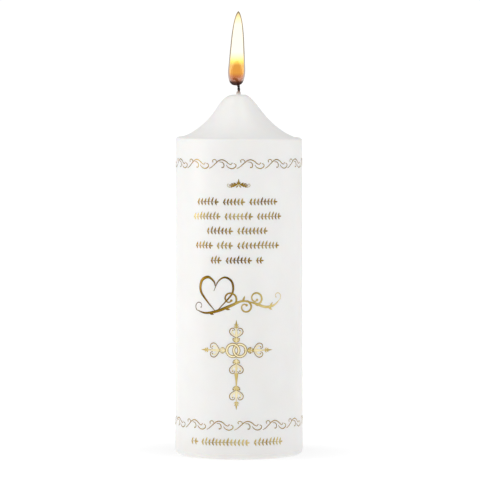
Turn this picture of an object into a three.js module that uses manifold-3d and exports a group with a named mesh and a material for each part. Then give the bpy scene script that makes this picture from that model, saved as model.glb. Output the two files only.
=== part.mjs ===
// Unity candle: a white wax pillar with a bell-shaped shoulder, a braided cotton wick held by
// a steel tab under the base, a lit flame, and gold foil ornament round and down the front.
// Millimetres, +Z up. The front faces -Y and the origin is the centre of the underside.
import * as THREE from "three";
import { mergeVertices } from "three/addons/utils/BufferGeometryUtils.js";
import { TessellateModifier } from "three/addons/modifiers/TessellateModifier.js";
import Module from "manifold-3d";

const wasm = await Module();
wasm.setup();

// The pillar: three inches across at the rim, and a little wider at the base.
const RIM_RADIUS = 38.1;
const BASE_RADIUS = 38.8;
const RIM_HEIGHT = 190.8;
const BASE_BEVEL = 2.1;
const BEVEL_STEPS = 3;
const ROUND_STEPS = 72;

// The lip rolls over from the wall to a low crest, a little above the rim's height.
const LIP_FOOT_DROP = 1.4;
const LIP_TURN_RISE = 0.6;
const LIP_CREST_RADIUS = 35.4;
const LIP_CREST_RISE = 0.7;
const LIP_STEPS = 4;

// The bell shoulder rises from just inside the lip to a low crown with a dimple round the wick.
// It is a bell curve, taken down towards its foot so that it runs out at the rim's height.
const BELL_RISE = 28;
const BELL_SPREAD = 19.9;
const BELL_INNER_RADIUS = 6;
const BELL_OUTER_RADIUS = 34.6;
const BELL_STEPS = 10;
const RUN_OUT_START = 20;
const RUN_OUT_LENGTH = 16;
const RUN_OUT_DROP = 1.1;
const CROWN_RADIUS = 4;
const CROWN_RISE = 26.5;
const DIMPLE_RADIUS = 1.9;
const DIMPLE_DEPTH = 1;

// The wick runs up the middle, and above the wax it drifts sideways and curls over.
const WICK_RADIUS = 0.8;
const WICK_FOOT = 0.5;
const WICK_STEM_TOP = 218;
const WICK_DRIFT_X = -0.5;
const WICK_TIP_X = -3.8;
const WICK_TIP_Z = 226.9;
const WICK_SIDES = 12;
const WICK_CURL_STEPS = 10;
const WICK_BORE_RADIUS = 1.1;

// The steel tab: a thin disc with a neck that grips the wick, let into the underside.
const TAB_RADIUS = 10;
const TAB_FOOT = 0.3;
const TAB_THICKNESS = 0.5;
const NECK_HEIGHT = 6.5;
const NECK_RADIUS = 1.6;
const NECK_BORE_RADIUS = 0.9;
const NECK_FILLET = 0.3;
const TAB_CLEARANCE = 0.4;
const TAB_STEPS = 32;

// The flame stands round the wick's tip and leans a little.
const FLAME_FOOT = 222.7;
const FLAME_HEIGHT = 45;
const FLAME_FOOT_X = -1.7;
const FLAME_TIP_X = -0.35;
const FLAME_STEPS = 14;
const FLAME_SIDES = 24;
const FLAME_CLEARANCE = 0.3;
// Radius at a share of the flame's height.
const FLAME_OUTLINE = [
  [0.045, 3.9],
  [0.19, 5.2],
  [0.51, 4.25],
  [0.78, 3.1],
  [0.92, 1.8],
];

// The foil lies on the wax. Heights are of each ornament's middle, or of its baseline, and an X
// says how far to the right of the front an ornament sits.
const FOIL_GAP = 0.12;
const FOIL_THICKNESS = 0.15;
const FOIL_STEP = 5;
const FOIL_PASSES = 8;
const BORDER_REPEATS = 14;
const BORDER_STEPS = 8;
const BORDER_SWING = 2.3;
const BORDER_BAND = 0.8;
const TOP_BORDER = { z: 176.4, crestX: 7.9 };
const BOTTOM_BORDER = { z: 20.6, crestX: 6.4 };
const CREST_X = 0.8;
const CREST_Z = 162;
const FLOURISH_Z = 98.5;
const CROSS_X = -0.7;
const CROSS_Z = 65.5;
const CAPTION_X = -0.9;
const CAPTION_Z = 10.2;
const SPRIG_HEIGHT = 4.4;
const SPRIG_MIDDLE = 1.8;
const SPRIG_GAP = 2.4;
const STEM_WIDTH = 0.5;
const STEM_INSET = 0.5;
// The crest's leaves: directions in degrees, and their root, length and width.
const CREST_FAN = { directions: [38, 64, 90, 116, 142], root: 0.6, length: 4.9, width: 1.1 };
const CREST_DROOP = { directions: [-12, 192], root: 1, length: 7.6, width: 1.5 };

// Line segments in a foil outline's curves.
const LEAF_SEGMENTS = 4;
const HEART_SEGMENTS = 5;
const LOOP_SEGMENTS = 5;
const RING_SEGMENTS = 10;

// Each row of the verse is a garland of sprigs: the height it stands on, and the sprigs' lengths.
const VERSE_ROWS = [
  { baseline: 151.9, sprigs: [14.7, 13.5, 18.4] },
  { baseline: 143.2, sprigs: [18.7, 17.1, 16.6] },
  { baseline: 134.6, sprigs: [16.6, 18.8] },
  { baseline: 125.9, sprigs: [12.2, 10, 26.9] },
  { baseline: 117.1, sprigs: [7, 15.9, 4.9] },
];
const CAPTION_SPRIGS = [5.8, 30.4, 19.6];

// The cross: arms as [angle in degrees, length, distances of its loops from the middle].
const CROSS_ARMS = [
  [90, 18.2, [6.2, 10.8]],
  [0, 22.4, [8.4, 13.6]],
  [180, 22.4, [8.4, 13.6]],
  [-90, 35.6, [6.6, 11.2, 22.6, 27.2]],
];
const CROSS_BAR_WIDTH = 0.9;
const RING_RADIUS = 4.4;
const RING_BAND = 1.5;
const RING_OFFSET = 2.1;
const LOOP_BAND = 0.8;
const SMALL_LOOP = { halfLength: 1.8, halfWidth: 2.4 };
const LARGE_LOOP = { halfLength: 2.8, halfWidth: 4.2 };
const BUD_LENGTH = 5;
const BUD_WIDTH = 1.6;

// The flourish: a heart, and a vine that runs under its foot and waves away to the right.
const HEART_X = -13;
const HEART_Y = 1;
const HEART_SIZE = 10;
const HEART_BAND = 1.5;
const VINE_WIDTH = 1.9;
const VINE_END_SHARE = 0.3;
const VINE_STEPS = 24;
const VINE = [
  [-27.5, -8],
  [-20, -10.6],
  [-12, -9.2],
  [-4, -6],
  [3, -3.2],
  [10, -4.4],
  [17, -6.8],
  [23, -6],
  [28, -2],
];

// The pillar's outer radius at a height.
function wallRadius(z) {
  return THREE.MathUtils.lerp(BASE_RADIUS, RIM_RADIUS, z / RIM_HEIGHT);
}

// The bell's height above the rim at a radius.
function bellRise(radius) {
  const runOut = Math.max(0, (radius - RUN_OUT_START) / RUN_OUT_LENGTH) ** 2;
  return BELL_RISE * Math.exp(-((radius / BELL_SPREAD) ** 2)) - RUN_OUT_DROP * runOut;
}

// Points up the rounded base edge, from the underside to the wall.
function baseBevel() {
  const x = wallRadius(BASE_BEVEL) - BASE_BEVEL;
  return new THREE.EllipseCurve(x, BASE_BEVEL, BASE_BEVEL, BASE_BEVEL, -Math.PI / 2, 0)
    .getPoints(BEVEL_STEPS);
}

// Points over the lip, from the wall to the lip's crest.
function lip() {
  return new THREE.QuadraticBezierCurve(
    new THREE.Vector2(wallRadius(RIM_HEIGHT - LIP_FOOT_DROP), RIM_HEIGHT - LIP_FOOT_DROP),
    new THREE.Vector2(RIM_RADIUS, RIM_HEIGHT + LIP_TURN_RISE),
    new THREE.Vector2(LIP_CREST_RADIUS, RIM_HEIGHT + LIP_CREST_RISE),
  ).getPoints(LIP_STEPS);
}

// A closed outline turned round the vertical axis, with its outer side drawn upwards.
function turned(outline, steps) {
  return new THREE.LatheGeometry(outline, steps).rotateX(Math.PI / 2);
}

// A three.js geometry as a manifold-3d solid.
function toSolid(geometry) {
  const bare = geometry.clone();
  bare.deleteAttribute("normal");
  bare.deleteAttribute("uv");
  const merged = mergeVertices(bare, 1e-4);
  return new wasm.Manifold(
    new wasm.Mesh({
      numProp: 3,
      vertProperties: new Float32Array(merged.getAttribute("position").array),
      triVerts: new Uint32Array(merged.index.array),
    }),
  );
}

// A manifold-3d solid as a three.js geometry.
function toGeometry(solid) {
  const mesh = solid.getMesh();
  return new THREE.BufferGeometry()
    .setAttribute("position", new THREE.BufferAttribute(mesh.vertProperties, mesh.numProp))
    .setIndex(new THREE.BufferAttribute(mesh.triVerts, 1));
}

function joined(geometries) {
  return geometries.map(toSolid).reduce((whole, piece) => whole.add(piece));
}

// The wax pillar, bored for the wick and recessed underneath for the tab.
function waxBody() {
  const tabRecess = TAB_RADIUS + TAB_CLEARANCE;
  const neckRecess = NECK_RADIUS + TAB_CLEARANCE;
  const tabCeiling = TAB_FOOT + TAB_THICKNESS + TAB_CLEARANCE;
  const neckCeiling = TAB_FOOT + NECK_HEIGHT + TAB_CLEARANCE;
  const outline = [
    new THREE.Vector2(WICK_BORE_RADIUS, neckCeiling),
    new THREE.Vector2(neckRecess, neckCeiling),
    new THREE.Vector2(neckRecess, tabCeiling),
    new THREE.Vector2(tabRecess, tabCeiling),
    new THREE.Vector2(tabRecess, 0),
    ...baseBevel(),
    ...lip(),
  ];
  for (let i = 0; i <= BELL_STEPS; i += 1) {
    const radius = THREE.MathUtils.lerp(BELL_OUTER_RADIUS, BELL_INNER_RADIUS, i / BELL_STEPS);
    outline.push(new THREE.Vector2(radius, RIM_HEIGHT + bellRise(radius)));
  }
  outline.push(
    new THREE.Vector2(CROWN_RADIUS, RIM_HEIGHT + CROWN_RISE),
    new THREE.Vector2(DIMPLE_RADIUS, RIM_HEIGHT + CROWN_RISE - DIMPLE_DEPTH),
    new THREE.Vector2(WICK_BORE_RADIUS, RIM_HEIGHT + CROWN_RISE - DIMPLE_DEPTH),
    outline[0],
  );
  return turned(outline, ROUND_STEPS);
}

// The wick's round rod, thickened by a margin: straight up, then drifting and curling over.
function wickSolid(margin) {
  const radius = WICK_RADIUS + margin;
  const foot = WICK_FOOT - margin;
  const height = WICK_STEM_TOP - foot;
  const stem = new THREE.CylinderGeometry(radius, radius, height, WICK_SIDES)
    .rotateX(Math.PI / 2)
    .translate(0, 0, foot + height / 2);
  const curl = new THREE.CubicBezierCurve3(
    new THREE.Vector3(0, 0, WICK_STEM_TOP - WICK_RADIUS),
    new THREE.Vector3(WICK_DRIFT_X / 2, 0, WICK_TIP_Z - WICK_RADIUS),
    new THREE.Vector3(2 * WICK_DRIFT_X, 0, WICK_TIP_Z),
    new THREE.Vector3(WICK_TIP_X - margin, 0, WICK_TIP_Z),
  );
  const section = new THREE.Shape().absarc(0, 0, radius, 0, 2 * Math.PI);
  const hook = new THREE.ExtrudeGeometry(section, {
    steps: WICK_CURL_STEPS,
    curveSegments: WICK_SIDES / 2,
    extrudePath: curl,
  });
  return joined([stem, hook]);
}

// The tab: a disc whose punched neck rises round the foot of the wick.
function wickTab() {
  const outline = [
    [NECK_BORE_RADIUS, TAB_FOOT],
    [TAB_RADIUS, TAB_FOOT],
    [TAB_RADIUS, TAB_FOOT + TAB_THICKNESS],
    [NECK_RADIUS + NECK_FILLET, TAB_FOOT + TAB_THICKNESS],
    [NECK_RADIUS, TAB_FOOT + TAB_THICKNESS + NECK_FILLET],
    [NECK_RADIUS, TAB_FOOT + NECK_HEIGHT],
    [NECK_BORE_RADIUS, TAB_FOOT + NECK_HEIGHT],
    [NECK_BORE_RADIUS, TAB_FOOT],
  ].map(([radius, z]) => new THREE.Vector2(radius, z));
  return turned(outline, TAB_STEPS);
}

// The flame: a leaning teardrop, open underneath where the wick enters it.
function flame() {
  const outline = new THREE.SplineCurve([
    new THREE.Vector2(0, 0),
    ...FLAME_OUTLINE.map(([share, radius]) => new THREE.Vector2(radius, share * FLAME_HEIGHT)),
    new THREE.Vector2(0, FLAME_HEIGHT),
  ]).getSpacedPoints(FLAME_STEPS);
  outline[0].x = 0;
  outline[FLAME_STEPS].x = 0;
  const drop = turned(outline, FLAME_SIDES);
  const position = drop.getAttribute("position");
  for (let i = 0; i < position.count; i += 1) {
    const share = position.getZ(i) / FLAME_HEIGHT;
    position.setX(i, position.getX(i) + THREE.MathUtils.lerp(FLAME_FOOT_X, FLAME_TIP_X, share));
  }
  drop.translate(0, 0, FLAME_FOOT);
  return toGeometry(toSolid(drop).subtract(wickSolid(FLAME_CLEARANCE)));
}

// A flat outline given the foil's thickness.
function foilSheet(shape, curveSegments = 1) {
  return new THREE.ExtrudeGeometry(shape, {
    depth: FOIL_THICKNESS,
    bevelEnabled: false,
    curveSegments,
  });
}

// Bends flat foil round the pillar: x runs round from the front, y is height, z stands out.
function laidOnWax(flat) {
  const position = flat.getAttribute("position");
  for (let i = 0; i < position.count; i += 1) {
    const z = position.getY(i);
    const radius = wallRadius(z) + FOIL_GAP + position.getZ(i);
    const angle = position.getX(i) / wallRadius(z);
    position.setXYZ(i, radius * Math.sin(angle), -radius * Math.cos(angle), z);
  }
  return flat;
}

// Flat sheets joined into one, cut into short steps so that they follow the wax.
function foilOrnament(sheets, x, height) {
  const flat = toGeometry(joined(sheets)).translate(x, height, 0);
  return laidOnWax(new TessellateModifier(FOIL_STEP, FOIL_PASSES).modify(flat));
}

// A pointed leaf that grows from a point, in a direction given in degrees.
function leaf(x, y, direction, length, width) {
  const shape = new THREE.Shape();
  shape.moveTo(0, 0);
  shape.quadraticCurveTo(length / 2, width, length, 0);
  shape.quadraticCurveTo(length / 2, -width, 0, 0);
  const turn = THREE.MathUtils.degToRad(direction);
  return foilSheet(shape, LEAF_SEGMENTS).rotateZ(turn).translate(x, y, 0);
}

// A straight bar between two points along x, drawn at a turn about the middle.
function bar(from, to, width, turn) {
  const shape = new THREE.Shape();
  shape.moveTo(from, -width / 2);
  shape.lineTo(to, -width / 2);
  shape.lineTo(to, width / 2);
  shape.lineTo(from, width / 2);
  return foilSheet(shape).rotateZ(turn);
}

// An oval band about a point on the x axis.
function loop(x, { halfLength, halfWidth }, band, curveSegments) {
  const shape = new THREE.Shape().absellipse(x, 0, halfLength, halfWidth, 0, 2 * Math.PI);
  const hole = new THREE.Path();
  hole.absellipse(x, 0, halfLength - band, halfWidth - band, 0, 2 * Math.PI);
  shape.holes.push(hole);
  return foilSheet(shape, curveSegments);
}

// A running stem that swings up and down all the way round the pillar. It has a crest where its
// distance from the front, measured round the wax, is crestX.
function border({ z: height, crestX }) {
  const middle = wallRadius(height) + FOIL_GAP;
  const outline = [
    [middle, -BORDER_BAND / 2],
    [middle + FOIL_THICKNESS, -BORDER_BAND / 2],
    [middle + FOIL_THICKNESS, BORDER_BAND / 2],
    [middle, BORDER_BAND / 2],
    [middle, -BORDER_BAND / 2],
  ].map(([radius, z]) => new THREE.Vector2(radius, z));
  const ring = turned(outline, BORDER_REPEATS * BORDER_STEPS);
  const position = ring.getAttribute("position");
  for (let i = 0; i < position.count; i += 1) {
    const turn = Math.atan2(position.getX(i), -position.getY(i)) - crestX / wallRadius(height);
    const swing = BORDER_SWING * Math.cos(BORDER_REPEATS * turn);
    const spread = wallRadius(height + swing) / wallRadius(height);
    position.setXYZ(
      i,
      position.getX(i) * spread,
      position.getY(i) * spread,
      position.getZ(i) + height + swing,
    );
  }
  return ring;
}

// Leaves of one size that spread from a root above the middle.
function leaves({ directions, root, length, width }) {
  return directions.map((direction) => leaf(0, root, direction, length, width));
}

// The crest over the verse: a fan of leaves over two drooping ones.
function crest() {
  return foilOrnament([...leaves(CREST_FAN), ...leaves(CREST_DROOP)], CREST_X, CREST_Z);
}

// A sprig's outline: a long lozenge with cut-off ends.
function sprigSheet(start, length) {
  const half = SPRIG_HEIGHT / 2;
  const shoulder = Math.min(half, length / 3);
  const shape = new THREE.Shape();
  shape.moveTo(start, 0);
  shape.lineTo(start + shoulder, half);
  shape.lineTo(start + length - shoulder, half);
  shape.lineTo(start + length, 0);
  shape.lineTo(start + length - shoulder, -half);
  shape.lineTo(start + shoulder, -half);
  return foilSheet(shape);
}

// A garland of sprigs on one stem, with its middle at x.
function garland(sprigs, x, height) {
  const gaps = SPRIG_GAP * (sprigs.length - 1);
  const half = sprigs.reduce((sum, sprig) => sum + sprig, gaps) / 2;
  const sheets = [bar(STEM_INSET - half, half - STEM_INSET, STEM_WIDTH, 0)];
  let start = -half;
  for (const sprig of sprigs) {
    sheets.push(sprigSheet(start, sprig));
    start += sprig + SPRIG_GAP;
  }
  return foilOrnament(sheets, x, height);
}

// The flourish's vine: a ribbon, widest in the middle and fine at its ends.
function vine() {
  const curve = new THREE.SplineCurve(VINE.map(([x, y]) => new THREE.Vector2(x, y)));
  const sides = [[], []];
  for (let i = 0; i <= VINE_STEPS; i += 1) {
    const share = i / VINE_STEPS;
    const half = (VINE_WIDTH / 2) * THREE.MathUtils.lerp(VINE_END_SHARE, 1, Math.sin(Math.PI * share));
    const across = curve.getTangent(share).rotateAround(new THREE.Vector2(), Math.PI / 2);
    const middle = curve.getPoint(share);
    sides[0].push(middle.clone().addScaledVector(across, half));
    sides[1].unshift(middle.clone().addScaledVector(across, -half));
  }
  return foilSheet(new THREE.Shape([...sides[0], ...sides[1]]));
}

// A heart-shaped path of a given half height about a point.
function drawHeart(path, x, y, size) {
  path.moveTo(x, y - size);
  path.bezierCurveTo(x + size / 2, y - size / 2, x + size, y - size / 9, x + size, y + size / 2);
  path.bezierCurveTo(x + size, y + 1.1 * size, x + size / 9, y + 1.1 * size, x, y + size / 2);
  path.bezierCurveTo(x - size / 9, y + 1.1 * size, x - size, y + 1.1 * size, x - size, y + size / 2);
  path.bezierCurveTo(x - size, y - size / 9, x - size / 2, y - size / 2, x, y - size);
  return path;
}

// A heart-shaped band.
function heart(x, y, size, band) {
  const shape = drawHeart(new THREE.Shape(), x, y, size);
  shape.holes.push(drawHeart(new THREE.Path(), x, y, size - band));
  return foilSheet(shape, HEART_SEGMENTS);
}

// The flourish under the verse.
function flourish() {
  return foilOrnament([heart(HEART_X, HEART_Y, HEART_SIZE, HEART_BAND), vine()], 0, FLOURISH_Z);
}

// The cross: two linked rings, and arms of loops that end in pointed buds.
function cross() {
  const ring = { halfLength: RING_RADIUS, halfWidth: RING_RADIUS };
  const sheets = [-1, 1].map((side) => loop(side * RING_OFFSET, ring, RING_BAND, RING_SEGMENTS));
  for (const [degrees, length, loops] of CROSS_ARMS) {
    const turn = THREE.MathUtils.degToRad(degrees);
    sheets.push(bar(RING_OFFSET, length - BUD_LENGTH / 2, CROSS_BAR_WIDTH, turn));
    loops.forEach((distance, i) => {
      const size = i % 2 === 0 ? SMALL_LOOP : LARGE_LOOP;
      sheets.push(loop(distance, size, LOOP_BAND, LOOP_SEGMENTS).rotateZ(turn));
    });
    sheets.push(leaf(length - BUD_LENGTH, 0, 0, BUD_LENGTH, BUD_WIDTH).rotateZ(turn));
  }
  return foilOrnament(sheets, CROSS_X, CROSS_Z);
}

const candle = new THREE.Group();

function addPart(name, geometry, finish) {
  const mesh = new THREE.Mesh(geometry, new THREE.MeshStandardMaterial(finish));
  mesh.name = name;
  candle.add(mesh);
}

const WAX = { color: 0xf3f1ec, roughness: 0.45, metalness: 0 };
const COTTON = { color: 0x2a211c, roughness: 0.95, metalness: 0 };
const STEEL = { color: 0xb8babd, roughness: 0.35, metalness: 1 };
const FLAME = { color: 0xffc45a, roughness: 1, metalness: 0, emissive: 0xffb030 };
const FOIL = { color: 0xc9a654, roughness: 0.3, metalness: 1 };

addPart("wax_body", waxBody(), WAX);
addPart("wick", toGeometry(wickSolid(0)), COTTON);
addPart("wick_tab", wickTab(), STEEL);
addPart("flame", flame(), FLAME);
addPart("top_border_foil", border(TOP_BORDER), FOIL);
addPart("crest_foil", crest(), FOIL);
VERSE_ROWS.forEach(({ baseline, sprigs }, row) => {
  addPart(`verse_row_${row + 1}_foil`, garland(sprigs, 0, baseline + SPRIG_MIDDLE), FOIL);
});
addPart("flourish_foil", flourish(), FOIL);
addPart("cross_foil", cross(), FOIL);
addPart("bottom_border_foil", border(BOTTOM_BORDER), FOIL);
addPart("caption_row_foil", garland(CAPTION_SPRIGS, CAPTION_X, CAPTION_Z), FOIL);

export default candle;
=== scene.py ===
"""Unity candle: the looks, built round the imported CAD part.
Lengths are metres, unless a name ends in _MM or a comment says millimetres."""

import math
import random

import bpy
import numpy as np
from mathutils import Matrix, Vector


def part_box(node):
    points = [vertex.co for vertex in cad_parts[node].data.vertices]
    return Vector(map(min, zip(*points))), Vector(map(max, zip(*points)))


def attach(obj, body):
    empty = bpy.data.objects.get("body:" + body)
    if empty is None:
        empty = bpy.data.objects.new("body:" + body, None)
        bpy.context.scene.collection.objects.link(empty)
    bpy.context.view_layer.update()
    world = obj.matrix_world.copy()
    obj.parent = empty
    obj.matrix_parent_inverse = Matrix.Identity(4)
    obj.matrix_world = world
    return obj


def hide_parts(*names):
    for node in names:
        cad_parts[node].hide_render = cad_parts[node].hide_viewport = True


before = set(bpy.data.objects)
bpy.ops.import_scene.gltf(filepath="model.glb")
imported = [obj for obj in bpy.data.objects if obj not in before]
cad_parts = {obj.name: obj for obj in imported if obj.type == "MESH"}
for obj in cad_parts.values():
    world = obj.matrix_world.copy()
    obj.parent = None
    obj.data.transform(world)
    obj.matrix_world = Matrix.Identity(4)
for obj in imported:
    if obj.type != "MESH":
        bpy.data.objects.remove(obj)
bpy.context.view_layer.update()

MM = 0.001

# The CAD nodes' boxes, which the finer pieces keep to.
_, WAX_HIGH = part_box("wax_body")
WICK_LOW, WICK_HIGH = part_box("wick")
FLAME_LOW, FLAME_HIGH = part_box("flame")

# The pillar, as the CAD part has it: its radius at the base comes from the frame.
BASE_RADIUS_MM = WAX_HIGH.x / MM
APEX_MM = WAX_HIGH.z / MM
RIM_RADIUS_MM = 38.1
RIM_HEIGHT_MM = 190.8
BASE_BEVEL_MM = 2.1

# The bell shoulder's curve, and where it runs out at its foot.
BELL_RISE_MM = 28
BELL_SPREAD_MM = 19.9
BELL_RUN_OUT_MM = 20
BELL_RUN_OUT_SPREAD_MM = 16
BELL_RUN_OUT_DROP_MM = 1.1

# The underside: the recess of the wick's tab, the hole for its neck, and the wick's bore.
RECESS_RADIUS_MM = 10.4
RECESS_HEIGHT_MM = 1.2
NECK_HOLE_RADIUS_MM = 2.0
NECK_HOLE_TOP_MM = 7.2
BORE_RADIUS_MM = 1.1

# The wick: its straight stem, and the bend that it makes above the wax, as (x, z) in millimetres.
WICK_TIP_X = WICK_LOW.x
WICK_TOP_Z = WICK_HIGH.z
WICK_BASE_Z = WAX_HIGH.z + 0.0002
WICK_STEM_TOP_MM = 217.2
WICK_BEND = np.array([(0, WICK_STEM_TOP_MM), (-0.25, 226.1), (-1.0, 226.9), (-3.8, 226.9)])

# The flame: how far its foot and its tip are from the pillar's axis, and its outline, as
# (share of the height, radius in millimetres).
FLAME_FOOT_X_MM = -1.7
FLAME_TIP_X_MM = -0.35
FLAME_OUTLINE = [
    (0, 0),
    (0.012, 2.4),
    (0.045, 3.9),
    (0.1, 4.75),
    (0.19, 5.2),
    (0.33, 4.8),
    (0.51, 4.25),
    (0.69, 3.6),
    (0.83, 2.75),
    (0.92, 1.8),
    (0.97, 1.0),
    (1, 0),
]

# Gold foil: how far it stands out of the wax, how deep its edges are pressed into it, and how much
# higher each stroke lies than the one before it, for a few strokes in turn.
FOIL_HEIGHT_MM = 0.05
FOIL_SINK_MM = 0.04
STROKE_LIFT_MM = 0.0015
STROKE_LIFTS = 12

# The borders' repeats, and where one of their crests is, round the wax from the front.
BORDER_REPEATS = 14
TOP_CREST_MM = 7.9
BOTTOM_CREST_MM = 6.4

# The sprigs' lengths in each row, from left to right, the gap between them and their tones.
VERSE_WORDS = (
    (14.7, 13.5, 18.4),
    (18.7, 17.1, 16.6),
    (16.6, 18.8),
    (12.2, 10.0, 26.9),
    (7.0, 15.9, 4.9),
)
CAPTION_WORDS = (5.8, 30.4, 19.6)
WORD_GAP_MM = 2.4
LEAF_PITCH_MM = 2.35
VERSE_TONE = 0.18
CAPTION_TONE = 0.36
CAPTION_SEED = 11

# The cross's arms, from the middle of its rings: the upper one and each of the side ones.
CROSS_TOP_MM = 18.2
CROSS_SIDE_MM = 22.4
RING_OFFSET_MM = 2.1

# The camera: its place, its turn from the front and its tilt down, in degrees.
LENS_MM = 250.4
SENSOR_MM = 36
CAMERA_DISTANCE = 2.0185
CAMERA_HEIGHT = 0.2321
CAMERA_SHIFT = 0.0006
CAMERA_TURN = 1.5
CAMERA_TILT = 2.9147

# The lights stand round the middle of the pillar.
LIGHT_TARGET = (0, 0, 0.12)
LIGHT_DISTANCE = 1.6


# ---------------------------------------------------------------- small helpers


def wall_radius(z_mm):
    """The pillar's outer radius at a height."""
    return BASE_RADIUS_MM + (RIM_RADIUS_MM - BASE_RADIUS_MM) * z_mm / RIM_HEIGHT_MM


def hump(value, middle, spread):
    """A smooth hump over a value: 1 at its middle."""
    return np.exp(-(((value - middle) / spread) ** 2))


def share_past(value, start, length):
    """How far a value is past its start, as a share of a length, held between 0 and 1."""
    return np.clip((value - start) / length, 0, 1)


def bell_rise(radius_mm):
    """The bell shoulder's height above the rim at a radius: a bell curve that runs out at its foot."""
    run_out = np.clip((radius_mm - BELL_RUN_OUT_MM) / BELL_RUN_OUT_SPREAD_MM, 0, None) ** 2
    return BELL_RISE_MM * hump(radius_mm, 0, BELL_SPREAD_MM) - BELL_RUN_OUT_DROP_MM * run_out


def middle_mm(node):
    """The middle of a CAD node's box."""
    low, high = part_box(node)
    return (low + high) / 2 / MM


def sideways_mm(node):
    """How far round the wax to the right of the front the middle of a node is."""
    return middle_mm(node).x


def new_object(name, points_mm, faces, smooth=True):
    """A mesh object from points in millimetres."""
    mesh = bpy.data.meshes.new(name)
    mesh.from_pydata((np.asarray(points_mm, float) * MM).tolist(), [], faces)
    mesh.validate()
    mesh.update()
    obj = bpy.data.objects.new(name, mesh)
    bpy.context.scene.collection.objects.link(obj)
    if smooth:
        mesh.polygons.foreach_set("use_smooth", [True] * len(mesh.polygons))
    return obj


def part(obj, material, slot, *nodes):
    """Makes a piece of the candle: its material, its body and the CAD nodes it stands for. The slot is
    not used.
    """
    obj.data.materials.clear()
    obj.data.materials.append(material)
    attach(obj, "root")
    if nodes:
        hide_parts(*nodes)
    return obj


def arc(centre, radius, start, end, steps):
    """Points along an arc; the angles are in degrees."""
    angles = np.radians(np.linspace(start, end, steps + 1))
    return np.column_stack(
        (centre[0] + radius * np.cos(angles), centre[1] + radius * np.sin(angles))
    )


def line(start, end, steps):
    """Evenly spaced points from start to end."""
    shares = np.linspace(0, 1, steps + 1)[:, None]
    return np.asarray(start) * (1 - shares) + np.asarray(end) * shares


def smooth_curve(points, steps=8):
    """Points along the Catmull-Rom curve through some points."""
    p = np.asarray(points, float)
    p = np.vstack((2 * p[0] - p[1], p, 2 * p[-1] - p[-2]))
    curve = []
    for i in range(1, len(p) - 2):
        for t in np.linspace(0, 1, steps, endpoint=False):
            a, b, c, d = p[i - 1 : i + 3]
            curve.append(
                0.5
                * (
                    2 * b
                    + (c - a) * t
                    + (2 * a - 5 * b + 4 * c - d) * t * t
                    + (3 * b - 3 * c + d - a) * t**3
                )
            )
    curve.append(p[-2])
    return np.array(curve)


def revolve(name, outline, steps, warp=None):
    """Turns a closed outline of (radius, height) round the vertical axis; its outer side runs upwards.
    warp, if given, moves the points: it takes and returns an array of (x, y, z)."""
    outline = np.asarray(outline, float)
    count = len(outline)
    angles = np.linspace(0, 2 * np.pi, steps, endpoint=False)
    points = np.empty((steps, count, 3))
    points[:, :, 0] = outline[None, :, 0] * np.sin(angles)[:, None]
    points[:, :, 1] = -outline[None, :, 0] * np.cos(angles)[:, None]
    points[:, :, 2] = outline[None, :, 1]
    points = points.reshape(-1, 3)
    if warp:
        points = warp(points)
    faces = []
    for i in range(steps):
        here, there = i * count, (i + 1) % steps * count
        for j in range(count):
            k = (j + 1) % count
            faces.append((here + j, there + j, there + k, here + k))
    return new_object(name, points, faces)


# ---------------------------------------------------------------- materials


class Nodes:
    """A material under construction: short calls for its nodes."""

    def __init__(self, name):
        self.material = bpy.data.materials.new(name)
        self.material.use_nodes = True
        self.tree = self.material.node_tree
        self.shader = self.tree.nodes["Principled BSDF"]
        self.place = self.add("ShaderNodeTexCoord").outputs["Object"]

    def add(self, kind, **inputs):
        node = self.tree.nodes.new(kind)
        for key, value in inputs.items():
            node.inputs[key].default_value = value
        return node

    def link(self, output, socket):
        self.tree.links.new(output, socket)

    def set(self, **values):
        for key, value in values.items():
            self.shader.inputs[key.replace("_", " ")].default_value = value

    def noise(self, scale, detail=3.0, stretch=None):
        """Noise over the object, with features of about 1 / scale metres."""
        place = self.place
        if stretch:
            mapping = self.add("ShaderNodeMapping", Scale=stretch)
            self.link(place, mapping.inputs["Vector"])
            place = mapping.outputs["Vector"]
        node = self.add("ShaderNodeTexNoise", Scale=scale, Detail=detail)
        self.link(place, node.inputs["Vector"])
        return node.outputs["Fac"]

    def axis(self, letter):
        split = self.add("ShaderNodeSeparateXYZ")
        self.link(self.place, split.inputs[0])
        return split.outputs[letter]

    def multiply(self, a, b):
        """The product of two colours."""
        node = self.tree.nodes.new("ShaderNodeMix")
        node.data_type, node.blend_type = "RGBA", "MULTIPLY"
        node.inputs["Factor"].default_value = 1.0
        self.link(a, node.inputs["A"])
        self.link(b, node.inputs["B"])
        return node.outputs["Result"]

    def spread(self, value, low, high, to_low=0.0, to_high=1.0):
        """A value carried from one range to another, held at the ends."""
        node = self.tree.nodes.new("ShaderNodeMapRange")
        for socket, number in zip(node.inputs[1:5], (low, high, to_low, to_high)):
            socket.default_value = number
        self.link(value, node.inputs[0])
        return node.outputs[0]

    def ramp(self, value, stops):
        """A colour ramp; stops are (place, colour)."""
        node = self.tree.nodes.new("ShaderNodeValToRGB")
        elements = node.color_ramp.elements
        while len(elements) < len(stops):
            elements.new(1.0)
        for element, (place, colour) in zip(elements, stops):
            element.position = place
            element.color = (*colour, 1.0) if len(colour) == 3 else colour
        self.link(value, node.inputs[0])
        return node

    def math(self, operation, a, b):
        node = self.tree.nodes.new("ShaderNodeMath")
        node.operation = operation
        for socket, value in zip(node.inputs, (a, b)):
            if isinstance(value, (int, float)):
                socket.default_value = value
            else:
                self.link(value, socket)
        return node.outputs[0]

    def bump(self, height, distance, strength=1.0):
        node = self.add("ShaderNodeBump", Strength=strength, Distance=distance)
        self.link(height, node.inputs["Height"])
        self.link(node.outputs[0], self.shader.inputs["Normal"])


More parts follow.
